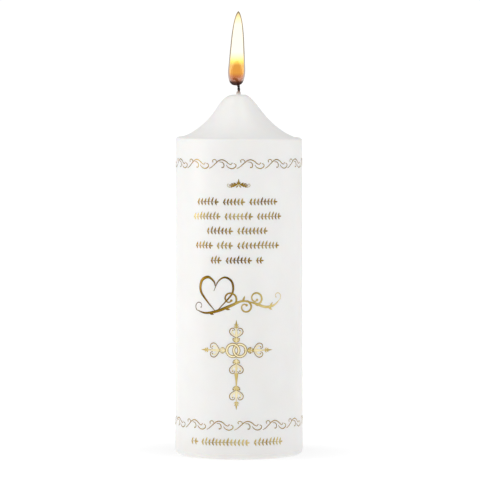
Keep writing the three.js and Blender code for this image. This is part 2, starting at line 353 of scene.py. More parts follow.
def wax_material():
    """Satin white wax of one colour all over, a little sooty where it climbs the wick."""
    m = Nodes("wax")
    m.set(Subsurface_Weight=0.35, Subsurface_Scale=1.0, IOR=1.44)
    m.set(Subsurface_Radius=(0.004, 0.0028, 0.002))
    m.set(Coat_Weight=0.15, Coat_Roughness=0.25)
    tone = m.ramp(m.noise(45.0, 4.0), [(0.3, (0.878, 0.866, 0.842)), (0.7, (0.907, 0.899, 0.881))])
    soot = m.ramp(
        m.spread(m.axis("Z"), WAX_HIGH.z, WAX_HIGH.z + 0.0016),
        [(0.0, (1.0, 1.0, 1.0)), (0.5, (0.85, 0.70, 0.63)), (1.0, (0.55, 0.38, 0.32))],
    )
    m.link(m.multiply(tone.outputs[0], soot.outputs[0]), m.shader.inputs["Base Color"])
    m.link(m.spread(m.noise(160.0), 0.3, 0.7, 0.36, 0.46), m.shader.inputs["Roughness"])
    m.bump(m.noise(700.0, 2.0), 0.00004)
    return m.material


def foil_material():
    """Gold foil: the tone attribute of each stroke runs from bronze, 0, to pale gold, 1. It holds
    painted light too: a painted highlight along each stroke's crest, painted shade at its edges, and
    the flourish's painted reflection.
    """
    m = Nodes("gold_foil")
    m.set(Metallic=1.0)
    tone = m.add("ShaderNodeAttribute")
    tone.attribute_name = "tone"
    patch = m.spread(m.noise(90.0, 2.0), 0.3, 0.7, -0.16, 0.16)
    level = m.math("ADD", tone.outputs["Fac"], patch)
    gold = m.ramp(
        level,
        [
            (0.0, (0.10, 0.05, 0.005)),
            (0.25, (0.29, 0.165, 0.015)),
            (0.5, (0.45, 0.32, 0.07)),
            (0.75, (0.70, 0.56, 0.22)),
            (1.0, (0.96, 0.86, 0.56)),
        ],
    )
    m.link(gold.outputs[0], m.shader.inputs["Base Color"])
    m.link(m.spread(m.noise(400.0), 0.3, 0.7, 0.26, 0.4), m.shader.inputs["Roughness"])
    m.bump(m.noise(1500.0, 2.0), 0.00001)
    return m.material


def wick_material():
    """Waxed cotton below, charred black above, with a glowing end."""
    m = Nodes("wick_cotton")
    m.set(Roughness=0.85, Emission_Strength=1.0)
    z = m.axis("Z")
    shade = m.spread(z, WICK_BASE_Z, WICK_TOP_Z)
    colour = m.ramp(
        m.math("ADD", shade, m.spread(m.noise(900.0), 0.3, 0.7, -0.03, 0.03)),
        [
            (0.0, (0.86, 0.78, 0.72)),
            (0.1, (0.74, 0.52, 0.44)),
            (0.2, (0.16, 0.08, 0.05)),
            (0.28, (0.012, 0.008, 0.006)),
            (0.85, (0.014, 0.008, 0.006)),
            (1.0, (0.05, 0.012, 0.006)),
        ],
    )
    m.link(colour.outputs[0], m.shader.inputs["Base Color"])
    x = m.axis("X")
    ember = m.ramp(
        m.spread(x, WICK_TIP_X + 0.0018, WICK_TIP_X),
        [(0.0, (0.0, 0.0, 0.0)), (0.5, (0.06, 0.004, 0.002)), (1.0, (0.15, 0.008, 0.006))],
    )
    m.link(ember.outputs[0], m.shader.inputs["Emission Color"])
    m.bump(m.noise(2500.0, 2.0, (1.0, 1.0, 0.3)), 0.00006)
    return m.material


def steel_material():
    m = Nodes("tab_steel")
    m.set(Metallic=1.0)
    tone = m.ramp(m.noise(260.0), [(0.3, (0.50, 0.51, 0.52)), (0.7, (0.66, 0.67, 0.68))])
    m.link(tone.outputs[0], m.shader.inputs["Base Color"])
    brushed = m.noise(500.0, 4.0, (1.0, 12.0, 1.0))
    m.link(m.spread(brushed, 0.3, 0.7, 0.24, 0.42), m.shader.inputs["Roughness"])
    m.bump(brushed, 0.00001)
    return m.material


def glow_material(name, stops, alphas, strength):
    """Burning gas: its colour and its alpha change with the share of the flame's height."""
    m = Nodes(name)
    m.set(Base_Color=(0, 0, 0, 1), Roughness=1.0, Emission_Strength=strength)
    m.set(Specular_IOR_Level=0.0)
    share = m.spread(m.axis("Z"), FLAME_LOW.z, FLAME_HIGH.z)
    m.link(m.ramp(share, stops).outputs[0], m.shader.inputs["Emission Color"])
    grey = [(place, (alpha, alpha, alpha)) for place, alpha in alphas]
    m.link(m.ramp(share, grey).outputs[0], m.shader.inputs["Alpha"])
    m.material.surface_render_method = "BLENDED"
    return m.material


# ---------------------------------------------------------------- wax


def wax_outline():
    """The pillar's section from the wick's bore round the outside and back, in millimetres."""
    bore, neck, recess = BORE_RADIUS_MM, NECK_HOLE_RADIUS_MM, RECESS_RADIUS_MM
    neck_top, recess_top = NECK_HOLE_TOP_MM, RECESS_HEIGHT_MM
    bevel, inset, soft = BASE_BEVEL_MM, 0.3, 0.3
    edge = wall_radius(bevel) - inset
    rim = RIM_HEIGHT_MM
    bell_radii = np.linspace(34.3, 6.4, 48)
    pieces = [
        line((bore, neck_top), (neck, neck_top), 2),
        line((neck, neck_top - soft), (neck, recess_top + soft), 4),
        line((neck + soft, recess_top), (recess - soft, recess_top), 10),
        line((recess, recess_top - soft), (recess, soft), 2),
        line((recess + soft, 0), (edge - bevel - soft, 0), 16),
        arc((edge - bevel, bevel), bevel, -90, 0, 8),
        smooth_curve([(edge - 0.02, 2.4), (edge + 0.05, 2.6), (wall_radius(2.9), 2.95)], 2),
        line((wall_radius(3.4), 3.4), (wall_radius(rim - 3), rim - 3), 90),
        smooth_curve([(38.1, rim - 1.4), (37.93, rim - 0.5), (37.4, rim + 0.15), (36.5, rim + 0.5)], 4),
        smooth_curve(
            [(36.0, rim + 0.62), (35.4, rim + 0.68), (35.05, rim + 0.55), (34.7, rim + 0.3)], 4
        ),
        np.column_stack((bell_radii, rim + bell_rise(bell_radii))),
        smooth_curve(
            [(5.6, rim + 25.75), (4.4, rim + 26.35), (3.2, rim + 26.35), (2.5, rim + 25.7)], 5
        ),
        smooth_curve(
            [(2.3, rim + 25.7), (1.9, rim + 26.2), (1.5, rim + 27), (1.1, rim + 28.3)], 5
        ),
        line((0.85, rim + 28.3), (0.8, rim + 20), 2),
        line((bore, rim + 18), (bore, neck_top + 1), 20),
    ]
    return np.vstack(pieces)


def hand_cast(points):
    """Leaves the slight waviness of a cast pillar, a fuller left shoulder under the crown, and the
    wax that climbs the leaning wick."""
    crease_depth, foot_rise, flank_hollow = 0.3, 0.5, 0.8
    shoulder_out, shoulder_drop = 1.7, 0.35
    x, y, z = points.T
    angle = np.arctan2(x, -y)
    reach = np.hypot(x, y)
    above_rim = z - RIM_HEIGHT_MM
    left = np.clip(-np.sin(angle), 0, 1) ** 1.5
    right = np.clip(np.sin(angle - 0.2), 0, 1)
    top = share_past(above_rim, -4, 6)
    crown = share_past(z, APEX_MM - 6, 8)
    wave = 0.06 * np.sin(3 * angle + 0.6) + 0.04 * np.sin(7 * angle + 2.0)
    out = points.copy()
    out[:, 2] += wave * top * (1 - crown) + 0.12 * np.sin(2 * angle + 0.9) * crown
    out[:, 2] -= crease_depth * right * hump(reach, 34.5, 0.8) * (above_rim > -1)
    out[:, 2] += foot_rise * left * share_past(reach, 18, 8) * share_past(above_rim, -6, 5)
    out[:, 0] -= flank_hollow * right * hump(above_rim, 14, 8) * (reach < 30)
    shoulder = left * hump(above_rim, 24, 6) * share_past(reach, 3, 2)
    out[:, 0] -= shoulder_out * shoulder
    out[:, 2] -= shoulder_drop * shoulder
    near_wick = reach < 2.3
    out[:, 0] += np.where(near_wick, wick_line(z)[:, 0] - 0.25, 0)
    return out


def make_wax():
    obj = revolve("wax_pillar", wax_outline(), 288, hand_cast)
    return part(obj, wax_material(), "wax", "wax_body")


# ---------------------------------------------------------------- wick and tab


def wick_bend(t):
    """The Bezier curve of the wick above the wax, as (x, z)."""
    t = np.asarray(t, float)[:, None]
    a, b, c, d = WICK_BEND
    return (1 - t) ** 3 * a + 3 * (1 - t) ** 2 * t * b + 3 * (1 - t) * t * t * c + t**3 * d


def wick_line(z_mm):
    """Where the wick's middle is at a height, as (x, y), as far as it still runs upwards."""
    bend = wick_bend(np.linspace(0, 0.5, 40))
    x = np.interp(z_mm, bend[:, 1], bend[:, 0])
    return np.column_stack((x, np.zeros_like(x)))


def tube(path, radii, sides):
    """Points and faces of a closed tube along a path, turned as little as possible from ring to ring."""
    path = np.asarray(path, float)
    tangents = np.gradient(path, axis=0)
    tangents /= np.linalg.norm(tangents, axis=1)[:, None]
    across = np.cross(tangents[0], (0, 1, 0))
    across /= np.linalg.norm(across)
    points = []
    for place, tangent, radius in zip(path, tangents, radii):
        across = across - tangent * across.dot(tangent)
        across /= np.linalg.norm(across)
        up = np.cross(tangent, across)
        for angle in np.linspace(0, 2 * np.pi, sides, endpoint=False):
            points.append(place + radius * (math.cos(angle) * across + math.sin(angle) * up))
    count = len(path)
    faces = [tuple(range(sides))[::-1], tuple((count - 1) * sides + i for i in range(sides))]
    for i in range(count - 1):
        for j in range(sides):
            k = (j + 1) % sides
            here, there = i * sides, (i + 1) * sides
            faces.append((here + j, here + k, there + k, there + j))
    return points, faces


def make_wick():
    """A braid of four cotton strands along the wick's line, frayed a little at the burnt end."""
    strands, turn_mm, strand_radius, spread = 4, 4.2, 0.4, 0.42
    weave_share, frayed_mm, frayed_share = 0.22, 1.6, 0.45
    foot = WICK_LOW.z / MM
    stem = np.column_stack((np.zeros(260), np.linspace(foot, WICK_STEM_TOP_MM, 260, endpoint=False)))
    middle = np.vstack((stem, wick_bend(np.linspace(0, 1, 50))))
    length = np.concatenate(([0], np.cumsum(np.linalg.norm(np.diff(middle, axis=0), axis=1))))
    tangent = np.gradient(middle, axis=0)
    tangent /= np.linalg.norm(tangent, axis=1)[:, None]
    side = np.column_stack((tangent[:, 1], np.zeros(len(middle)), -tangent[:, 0]))
    points, faces = [], []
    for strand in range(strands):
        sense = 1 if strand % 2 else -1
        phase = sense * 2 * np.pi * length / turn_mm + strand * np.pi / 2
        weave = 1 + weave_share * np.sin(2 * phase)
        offset = side * (spread * weave * np.cos(phase))[:, None]
        offset[:, 1] += spread * weave * np.sin(phase)
        path = np.column_stack((middle[:, 0], np.zeros(len(middle)), middle[:, 1])) + offset
        left = length[-1] - length
        radii = strand_radius * np.clip(frayed_share + left / frayed_mm, frayed_share, 1)
        more, quads = tube(path, radii, 8)
        faces += [tuple(i + len(points) for i in f) for f in quads]
        points += more
    obj = new_object("wick_braid", points, faces)
    return part(obj, wick_material(), "wick_cotton", "wick")


def make_tab():
    """The pressed tab: a beaded disc with radial ribs, and a neck crimped on the wick in four places."""
    low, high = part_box("wick_tab")
    radius, foot, top = high.x / MM, low.z / MM, high.z / MM
    sheet, bore, neck = 0.35, 0.95, 1.6
    outline = np.vstack(
        (
            arc((bore + 0.35, foot + 0.35), 0.35, 180, 270, 3),
            line((2.2, foot), (radius - 1.0, foot), 14),
            arc((radius - 0.3, foot + 0.3), 0.3, -90, 90, 6),
            line((radius - 1.0, foot + sheet), (neck + 0.8, foot + sheet), 14),
            arc((neck + 0.5, foot + sheet + 0.5), 0.5, 270, 180, 4),
            line((neck, foot + 1.4), (neck, top - 0.15), 12),
            arc((neck - 0.15, top - 0.15), 0.15, 0, 180, 3),
            line((bore + 0.1, top - 0.4), (bore, foot + 0.6), 12),
        )
    )

    def press(points):
        rib_height, squeeze_share = 0.22, 0.1
        x, y, z = points.T
        reach, angle = np.hypot(x, y), np.arctan2(x, -y)
        out = points.copy()
        rib = share_past(reach, 3, 1) * np.clip(radius - 1.4 - reach, 0, 1)
        out[:, 2] += rib_height * rib * np.clip(np.cos(8 * angle), 0, 1) ** 2
        crimp = hump(z, top - 2.2, 0.9) * share_past(z, foot + 1.2, 0.6)
        squeeze = 1 - squeeze_share * crimp * np.clip(np.cos(4 * angle), 0, 1)
        out[:, 0] *= squeeze
        out[:, 1] *= squeeze
        return out

    obj = revolve("wick_tab_pressed", outline, 128, press)
    return part(obj, steel_material(), "tab_steel", "wick_tab")


# ---------------------------------------------------------------- flame

# Colours that more than one of the shells has.
ROSE = (0.40, 0.13, 0.04)
AMBER = (0.70, 0.36, 0.04)


def flame_shell(name, knots, low_share, high_share, material):
    """A closed teardrop shell: knots are (share of the shell's height, radius in millimetres)."""
    foot, tall = FLAME_LOW.z / MM, (FLAME_HIGH.z - FLAME_LOW.z) / MM
    outline = smooth_curve([(radius, share) for share, radius in knots], 10)
    outline[:, 1] = foot + tall * (low_share + (high_share - low_share) * outline[:, 1])
    outline[:, 0] = np.clip(outline[:, 0], 0, None)
    inner = outline[1:-1]
    steps = 64
    angles = np.linspace(0, 2 * np.pi, steps, endpoint=False)
    points = [(radius * math.sin(a), -radius * math.cos(a), z) for a in angles for radius, z in inner]
    count = len(inner)
    faces = []
    for i in range(steps):
        here, there = i * count, (i + 1) % steps * count
        for j in range(count - 1):
            faces.append((here + j, there + j, there + j + 1, here + j + 1))
    bottom, top = len(points), len(points) + 1
    points += [(0, 0, outline[0, 1]), (0, 0, outline[-1, 1])]
    for i in range(steps):
        here, there = i * count, (i + 1) % steps * count
        faces.append((bottom, there, here))
        faces.append((top, here + count - 1, there + count - 1))
    points = np.array(points)
    share = (points[:, 2] - foot) / tall
    points[:, 0] += FLAME_FOOT_X_MM + (FLAME_TIP_X_MM - FLAME_FOOT_X_MM) * share
    return part(new_object(name, points, faces), material, "flame_glow")


def make_mantle():
    """The dim outer shell: dark round the foot, and a brown line round the rest of the flame."""
    brown = (0.045, 0.016, 0.012)
    umber = (0.30, 0.10, 0.04)
    rim = (0.25, 0.18, 0.08)
    gold = (0.42, 0.28, 0.09)
    glow = glow_material(
        "flame_mantle",
        [
            (0.0, brown),
            (0.05, brown),
            (0.078, umber),
            (0.14, umber),
            (0.3, rim),
            (0.7, rim),
            (0.88, gold),
            (1.0, rim),
        ],
        [(0.0, 0.9), (0.045, 0.85), (0.075, 0.4), (0.3, 0.42), (0.45, 0.6), (0.9, 0.62), (1.0, 0.8)],
        1.0,
    )
    mantle = flame_shell("flame_mantle", FLAME_OUTLINE, 0, 1, glow)
    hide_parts("flame")


def make_flame_body():
    """The bright body: white above, yellow and amber lower down, and russet round the wick's end."""
    white = (1.0, 0.93, 0.80)
    pale = (1.0, 0.82, 0.42)
    yellow = (0.95, 0.62, 0.09)
    russet = (0.22, 0.065, 0.02)
    glow = glow_material(
        "flame_body",
        [
            (0.05, russet),
            (0.08, russet),
            (0.12, ROSE),
            (0.17, AMBER),
            (0.27, AMBER),
            (0.32, yellow),
            (0.38, pale),
            (0.45, white),
            (0.82, white),
            (0.93, pale),
        ],
        [(0.03, 0.3), (0.06, 0.38), (0.15, 0.45), (0.28, 0.45), (0.34, 0.7), (0.4, 0.95), (0.5, 1.0)],
        2.8,
    )
    sides = [(share, radius * 0.86 - 0.1) for share, radius in FLAME_OUTLINE[1:-1]]
    flame_shell("flame_body", [(0, 0)] + sides + [(1, 0)], 0.03, 0.975, glow)


def make_flame_cones():
    """The two orange cones over the wick's end, one inside the other."""
    orange = (0.50, 0.07, 0.02)
    cone = [(0, 0), (0.06, 2.2), (0.25, 3.0), (0.6, 2.2), (0.85, 1.1), (1, 0)]
    for name, width, alpha in (("flame_veil", 1.2, 0.5), ("flame_heart", 0.85, 0.9)):
        glow = glow_material(
            name,
            [(0.12, ROSE), (0.2, orange), (0.27, orange), (0.34, AMBER)],
            [(0.1, alpha * 0.2), (0.16, alpha), (0.26, alpha), (0.36, 0.0)],
            1.1,
        )
        knots = [(share, radius * width) for share, radius in cone]
        flame_shell(name, knots, 0.095, 0.33 + 0.03 * width, glow)


# ---------------------------------------------------------------- gold foil

FOIL_MATERIAL = foil_material()


class Foil:
    """Foil strokes, drawn flat: u runs round the pillar from the front and v up, in millimetres.
    Each stroke is a closed strip with a slightly domed top, and is laid on the wax at the end."""

    # A stroke's section: the share of the half width, the share of the rise or None where the edge
    # is sunk into the wax, and how much paler it is. That last is painted light: a painted highlight
    # along the crest and painted shade at the edges.
    SECTION = ((1, None, -0.1), (0.9, 0.6, -0.1), (0, 1, 0.08), (-0.9, 0.6, -0.1), (-1, None, -0.1))

    def __init__(self, height_mm, sideways=0.0):
        self.height, self.sideways = height_mm, sideways
        self.points, self.faces, self.tones = [], [], []
        self.strokes = 0

    def stroke(self, centres, halves, tone, closed=False, lift=0.0):
        """A strip along centres, with a half width at each of them."""
        centres = np.asarray(centres, float)
        halves = np.broadcast_to(halves, len(centres))
        if closed:
            around = np.vstack((centres[-1], centres, centres[0]))
            tangents = around[2:] - around[:-2]
        else:
            tangents = np.gradient(centres, axis=0)
        tangents = tangents / np.linalg.norm(tangents, axis=1)[:, None]
        normals = np.column_stack((-tangents[:, 1], tangents[:, 0]))
        base = len(self.points)
        rise = FOIL_HEIGHT_MM + self.strokes * STROKE_LIFT_MM + np.broadcast_to(lift, len(centres))
        tones = np.broadcast_to(tone, len(centres))
        for centre, normal, half, up, shade in zip(centres, normals, halves, rise, tones):
            for across, share, painted_shading in self.SECTION:
                u, v = centre + normal * (half * across)
                w = -FOIL_SINK_MM if share is None else up * share
                self.points.append((u, v, w))
                # The tone gets the section's painted shading: a painted highlight on the crest, painted
                # shade at the edges.
                self.tones.append(shade + painted_shading)
        size, count = len(self.SECTION), len(centres)
        for i in range(count if closed else count - 1):
            here, there = base + i * size, base + (i + 1) % count * size
            for j in range(size):
                k = (j + 1) % size
                self.faces.append((here + j, there + j, there + k, here + k))
        if not closed:
            last = base + (count - 1) * size
            self.faces.append(tuple(base + j for j in range(size)))
            self.faces.append(tuple(last + j for j in range(size))[::-1])
        self.strokes = (self.strokes + 1) % STROKE_LIFTS

    def line(self, points, width, tone, steps=8, ends=0.35, lift=0.0):
        """A pen stroke through points: full width in the middle and finer towards its ends.
        The tone may be a pair: at the start and at the end."""
        centres = smooth_curve(points, steps)
        t = np.linspace(0, 1, len(centres))
        halves = width / 2 * (ends + (1 - ends) * np.sin(np.pi * t))
        self.stroke(centres, halves, np.interp(t, (0, 1), np.broadcast_to(tone, 2)), lift=lift)

    def leaf(self, root, direction, length, width, tone, bend=0.0):
        """A pointed leaf from its root, in a direction in degrees."""
        t = np.linspace(0, 1, 9)
        angle = math.radians(direction)
        along = np.array((math.cos(angle), math.sin(angle)))
        across = np.array((-along[1], along[0]))
        drift = bend * length * t * t
        centres = np.asarray(root) + np.outer(t * length, along) + np.outer(drift, across)
        halves = np.maximum(width / 2 * np.sin(np.pi * t**0.8) ** 0.9, 0.03)
        self.stroke(centres, halves, tone)

    def dot(self, centre, radius, tone):
        t = np.linspace(-0.98, 0.98, 9)
        centres = np.asarray(centre) + np.column_stack((t * radius, np.zeros(9)))
        self.stroke(centres, radius * np.sqrt(1 - t * t), tone)

    def curl(self, root, start_angle, radius, turns, width, tone, sense=1):
        """A spiral tendril that leaves its root at an angle and winds in to a round end."""
        t = np.linspace(0, 1, 26)
        turn = math.radians(start_angle) + sense * 2 * np.pi * turns * t**0.9
        step = np.column_stack((np.cos(turn), np.sin(turn))) * (1 - 0.8 * t)[:, None]
        path = np.vstack(((0, 0), np.cumsum(step[:-1], axis=0)))
        path *= radius / max(np.ptp(path[:, 0]), np.ptp(path[:, 1])) * 2
        centres = np.asarray(root) + path
        self.stroke(centres, width / 2 * (1 - 0.45 * t), tone)
        self.dot(centres[-1], width * 0.62, tone)

    def lay(self, name, *nodes):
        """Bends the strokes round the wax, and makes the piece."""
        u, v, w = np.array(self.points).T
        u = u + self.sideways
        z = v + self.height
        wall = wall_radius(z)
        points = np.column_stack(
            ((wall + w) * np.sin(u / wall), -(wall + w) * np.cos(u / wall), z)
        )
        obj = new_object(name, points, self.faces)
        obj.data.set_sharp_from_angle(angle=math.radians(40))
        tone = obj.data.attributes.new("tone", "FLOAT", "POINT")
        tone.data.foreach_set("value", self.tones)
        return part(obj, FOIL_MATERIAL, "gold_foil", *nodes)


# One repeat of a border, about its crest: each stroke's points, its width, its tone and the radius of
# the dot at its end. They are a wave with a hooked end, a drop under its crest, a cup and a curl.
BORDER_STROKES = (
    (
        [(-8.2, -2.7), (-6.6, -1.9), (-4.2, 0.1), (-2.2, 1.8), (0, 2.5), (2.2, 1.7), (4.0, 0.2)]
        + [(5.4, -0.3), (6.1, 0.5)],
        0.6,
        0.36,
        0.32,
    ),
    ([(-1.6, 1.2), (0.3, 0.9), (1.2, -0.5), (0.9, -2.0), (0.1, -2.1)], 0.55, 0.34, 0.42),
    ([(2.6, -0.6), (3.8, -2.0), (6.0, -2.8), (8.0, -1.9), (8.4, -0.5), (7.4, 0.2)], 0.6, 0.36, 0.3),
    ([(-3.4, 0.8), (-3.7, 2.1), (-4.9, 2.6), (-6.0, 2.0), (-5.8, 1.2)], 0.5, 0.38, 0.34),
)


def make_border(name, node, crest_u):
    """A running band of scrolls all the way round the wax. One of them has its crest at crest_u."""
    height = middle_mm(node).z
    foil = Foil(height, crest_u)
    pitch = 2 * math.pi * wall_radius(height) / BORDER_REPEATS
    for i in range(BORDER_REPEATS):
        start = (i - BORDER_REPEATS / 2) * pitch
        for points, width, tone, ball in BORDER_STROKES:
            moved = [(start + u, v) for u, v in points]
            foil.line(moved, width, tone, steps=6, ends=0.55)
            foil.dot(moved[-1], ball, tone)
    return foil.lay(name, node)


def garland_word(foil, start, length, reach, tone, chance):
    """A laurel sprig as long as a word: a stem with leaves in pairs, some of them taller."""
    pairs = max(1, round((length - 2.6) / LEAF_PITCH_MM))
    pitch = (length - 3.0) / pairs
    stem = [(start + 0.2, -0.1), (start + length * 0.5, 0.15), (start + length - 1.6, 0)]
    foil.line(stem, 0.38, tone - 0.05)
    foil.dot((start + 0.3, -0.1), 0.4, tone)
    for i in range(pairs + 1):
        root = start + 0.4 + i * pitch
        shade = tone + 0.2 * chance.random()
        rise = 1.35 if 0 < i < pairs and chance.random() < 0.3 else 0.92 + 0.16 * chance.random()
        foil.leaf((root, 0), 57 + 6 * chance.random(), reach * rise, 1.12, shade, 0.12)
        foil.leaf((root, 0), -56 - 6 * chance.random(), reach * 0.86, 1.02, shade - 0.04, -0.12)
    foil.leaf((start + length - 2.2, 0), 2, 2.2, 1.05, tone + 0.1)


def make_garland(name, node, words, tone, seed):
    """A row of sprigs with the spacing of a line of words."""
    low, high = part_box(node)
    foil = Foil(middle_mm(node).z, sideways_mm(node))
    chance = random.Random(seed)
    reach = (high.z - low.z) / MM * 0.57
    start = -(sum(words) + WORD_GAP_MM * (len(words) - 1)) / 2
    for word in words:
        garland_word(foil, start, word, reach, tone + 0.22 * chance.random(), chance)
        start += word + WORD_GAP_MM
    return foil.lay(name, node)


def mirrored(direction, side):
    """A direction in degrees, mirrored left to right where the side is -1."""
    return direction if side > 0 else 180 - direction


def make_crest():
    """The crest: a fleuron over two wings that slope down to thin curls, and two drops."""
    low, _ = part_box("crest_foil")
    foil = Foil(low.z / MM + 0.9, sideways_mm("crest_foil"))
    for side in (1, -1):
        foil.leaf((side * 0.3, 2.5), mirrored(-19, side), 5.6, 1.5, 0.34, side * -0.08)
        for place, height, direction, length in (
            (1.6, 2.5, 22, 1.7),
            (2.9, 2.2, 14, 1.9),
            (4.0, 1.7, 2, 1.9),
            (2.6, 1.6, -62, 1.2),
            (3.9, 1.3, -66, 1.3),
        ):
            root = (side * place, height)
            foil.leaf(root, mirrored(direction, side), length, 0.85, 0.26, side * -0.1)
        foil.curl((side * 5.0, 0.9), mirrored(-38, side), 0.9, 0.75, 0.34, 0.45, side)
        foil.leaf((side * 0.3, 1.6), mirrored(-50, side), 1.9, 0.9, 0.5)
    for direction, length, width in ((90, 3.4, 1.0), (52, 1.9, 0.8), (128, 1.9, 0.8)):
        foil.leaf((0, 2.1), direction, length, width, 0.36)
    foil.dot((0, 2.1), 0.6, 0.65)
    return foil.lay("crest_ornament", "crest_foil")


def make_flourish():
    """A tall pen-drawn heart, and a vine that leaves its foot to the right in three scrolls.
    The foil is painted from bronze on the left to pale gold on the right: a painted reflection."""
    foil = Foil(middle_mm("flourish_foil").z)

    # shade(u) is the painted reflection: the foil darker on the left and paler on the right.
    def shade(u):
        return float(np.interp(u, (-27, -8, 27), (-0.04, 0.2, 0.9)))

    def pen(points, width, ends=0.2):
        foil.line(points, width, (shade(points[0][0]), shade(points[-1][0])), ends=ends)

    left_half = [(-13, -9.8), (-19, -3.4), (-23.4, 2.6), (-22.6, 8.6), (-18.2, 10.9), (-14.4, 8.4)]
    right_half = [(-13.4, -10.1), (-7.4, -4), (-2.8, 2), (-3.2, 8.2), (-7.4, 10.9), (-11.6, 8.4)]
    pen(left_half + [(-13.4, 5.4)], 1.9)
    pen(right_half + [(-14.4, 2.6)], 1.35)
    pen([(-26.5, -9.0), (-20, -10.6), (-12, -9.2), (-4, -6), (3, -3.2), (10, -4.4)], 1.9)
    pen([(5, -3.3), (10, -4.4), (17, -6.8), (23, -6), (27.4, -2.6)], 1.6)
    foil.curl((-26.4, -9.0), 130, 2.3, 0.8, 0.6, shade(-26), -1)
    foil.curl((27.3, -2.7), 50, 2.0, 0.8, 0.6, shade(27), 1)
    for root, angle, radius, sense in (
        ((-3, -5.7), 28, 3.6, 1),
        ((5.4, -3.2), -14, 3.2, -1),
        ((12.2, -5.2), 22, 3.4, 1),
    ):
        foil.curl(root, angle, radius, 1.15, 1.25, shade(root[0]), sense)
    for root, direction in (
        ((-7.5, -7.6), -18),
        ((3.2, -3.2), 62),
        ((10.4, -4.6), -34),
        ((20, -6.8), 46),
        ((19, -6.8), -40),
        ((-17.5, -10.4), -24),
    ):
        foil.leaf(root, direction, 3.4, 1.3, shade(root[0]), 0.12)
    return foil.lay("flourish_ornament", "flourish_foil")


def draw_ring(foil, centre_u, over):
    """One wedding ring: a pale band between two darker lines. It lies over its partner at the top
    where over is 1, and at the bottom where it is -1."""
    band_radius, band_half, line_half, weave_mm = 3.65, 0.62, 0.2, 0.03
    angles = np.linspace(0, 2 * np.pi, 72, endpoint=False)
    circle = np.column_stack((np.cos(angles), np.sin(angles)))
    lift = weave_mm * (1 + over * np.sin(angles))
    centre = np.array((centre_u, 0.0))
    foil.stroke(centre + band_radius * circle, band_half, 1.0, closed=True, lift=lift)
    for radius in (4.3, 3.0):
        foil.stroke(centre + radius * circle, line_half, 0.26, closed=True, lift=lift + 0.005)


class Arm:
    """One arm of the cross. Its strokes are placed by their distance along it and aside of it."""

    def __init__(self, foil, direction):
        self.foil, self.direction = foil, direction
        angle = math.radians(direction)
        self.along = np.array((math.cos(angle), math.sin(angle)))
        self.across = np.array((-self.along[1], self.along[0]))

    def place(self, distance, aside=0):
        return distance * self.along + aside * self.across

    def pen(self, points, width, tone, ends=0.5):
        self.foil.line([self.place(*point) for point in points], width, tone, ends=ends)

    def leaf(self, distance, turn, length, width, tone, bend=0.0):
        self.foil.leaf(self.place(distance), self.direction + turn, length, width, tone, bend)

    def dot(self, distance, aside, radius, tone):
        self.foil.dot(self.place(distance, aside), radius, tone)

    def spike(self, start, end):
        """A bar that narrows outwards."""
        steps = np.linspace(0, 1, 8)
        centres = [self.place(start + (end - start) * share) for share in steps]
        self.foil.stroke(centres, 1.35 - steps**0.7, 0.68)

    def neck(self, middle, reach):
        """A small shell: a leaf between two others, each of them with an outline and a dot."""
        for side in (1, -1):
            self.leaf(middle - reach * 0.6, side * 38, reach * 1.25, reach * 0.62, 0.8, side * -0.2)
            self.dot(middle + reach * 0.3, side * reach * 0.72, reach * 0.17, 0.36)
            outline = ((-0.7, 0), (-0.2, 0.72), (0.4, 0.9))
            self.pen([(middle + reach * a, side * reach * b) for a, b in outline], 0.34, 0.34)
        self.leaf(middle - reach * 0.8, 0, reach * 1.7, reach * 0.6, 0.9)

    def bulb(self, middle, reach):
        """Two scrolls back to back, with a curl inside each and a leaf between them."""
        back = middle - reach * 0.85
        scroll = ((-0.85, 0), (-0.4, 0.72), (0.05, 1), (0.5, 0.84), (0.6, 0.4), (0.25, 0.2))
        self.leaf(back, 0, reach * 1.5, reach * 0.4, 0.95)
        for side in (1, -1):
            aside = side * reach
            outer = [(middle + reach * a, aside * b) for a, b in scroll]
            inner = [(middle - reach * 0.1, 0.62 * aside), (middle + reach * 0.3, 0.58 * aside)]
            self.pen(outer, 0.56, 0.32, ends=0.7)
            self.pen([(back + 0.6, 0)] + inner, 0.9, 0.95)
            self.dot(middle + reach * 0.28, 0.52 * aside, reach * 0.11, 0.4)
            self.leaf(back, side * 112, reach * 0.42, 0.7, 0.7)

    def bud(self, tip):
        """Two pairs of short leaves and a long one, which ends at the tip."""
        for back, spread, size in ((4.9, 58, 1.9), (4.0, 40, 2.0)):
            for side in (1, -1):
                self.leaf(tip - back, side * spread, size, 0.85, 0.66)
        self.leaf(tip - 5.0, 0, 5.0, 1.05, 0.5)


def draw_arm(foil, direction, length, bulbs, necks, spikes=()):
    """An arm with its stem, spikes, necks, bulbs and bud. Necks and bulbs are (middle, reach)."""
    arm = Arm(foil, direction)
    arm.pen([(4.4, 0), (length * 0.6, 0), (length - 2.5, 0)], 0.8, 0.8)
    for start, end in spikes:
        arm.spike(start, end)
    for middle, reach in necks:
        arm.neck(middle, reach)
    for middle, reach in bulbs:
        arm.bulb(middle, reach)
    arm.bud(length)


def make_cross():
    """The cross: two linked rings where the arms meet."""
    low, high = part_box("cross_foil")
    height = high.z / MM - CROSS_TOP_MM
    foil = Foil(height, sideways_mm("cross_foil"))
    down = height - low.z / MM
    draw_arm(foil, 90, CROSS_TOP_MM, ((10.8, 4.0),), ((6.2, 2.4),))
    draw_arm(foil, -90, down, ((11.2, 4.1), (27.0, 4.1)), ((6.7, 2.4), (22.7, 2.5)), ((13.6, 20.6),))
    for direction in (0, 180):
        draw_arm(foil, direction, CROSS_SIDE_MM, ((13.5, 4.2),), ((8.0, 2.1),))
    draw_ring(foil, -RING_OFFSET_MM, 1)
    draw_ring(foil, RING_OFFSET_MM, -1)
    return foil.lay("cross_ornament", "cross_foil")


# ---------------------------------------------------------------- scene


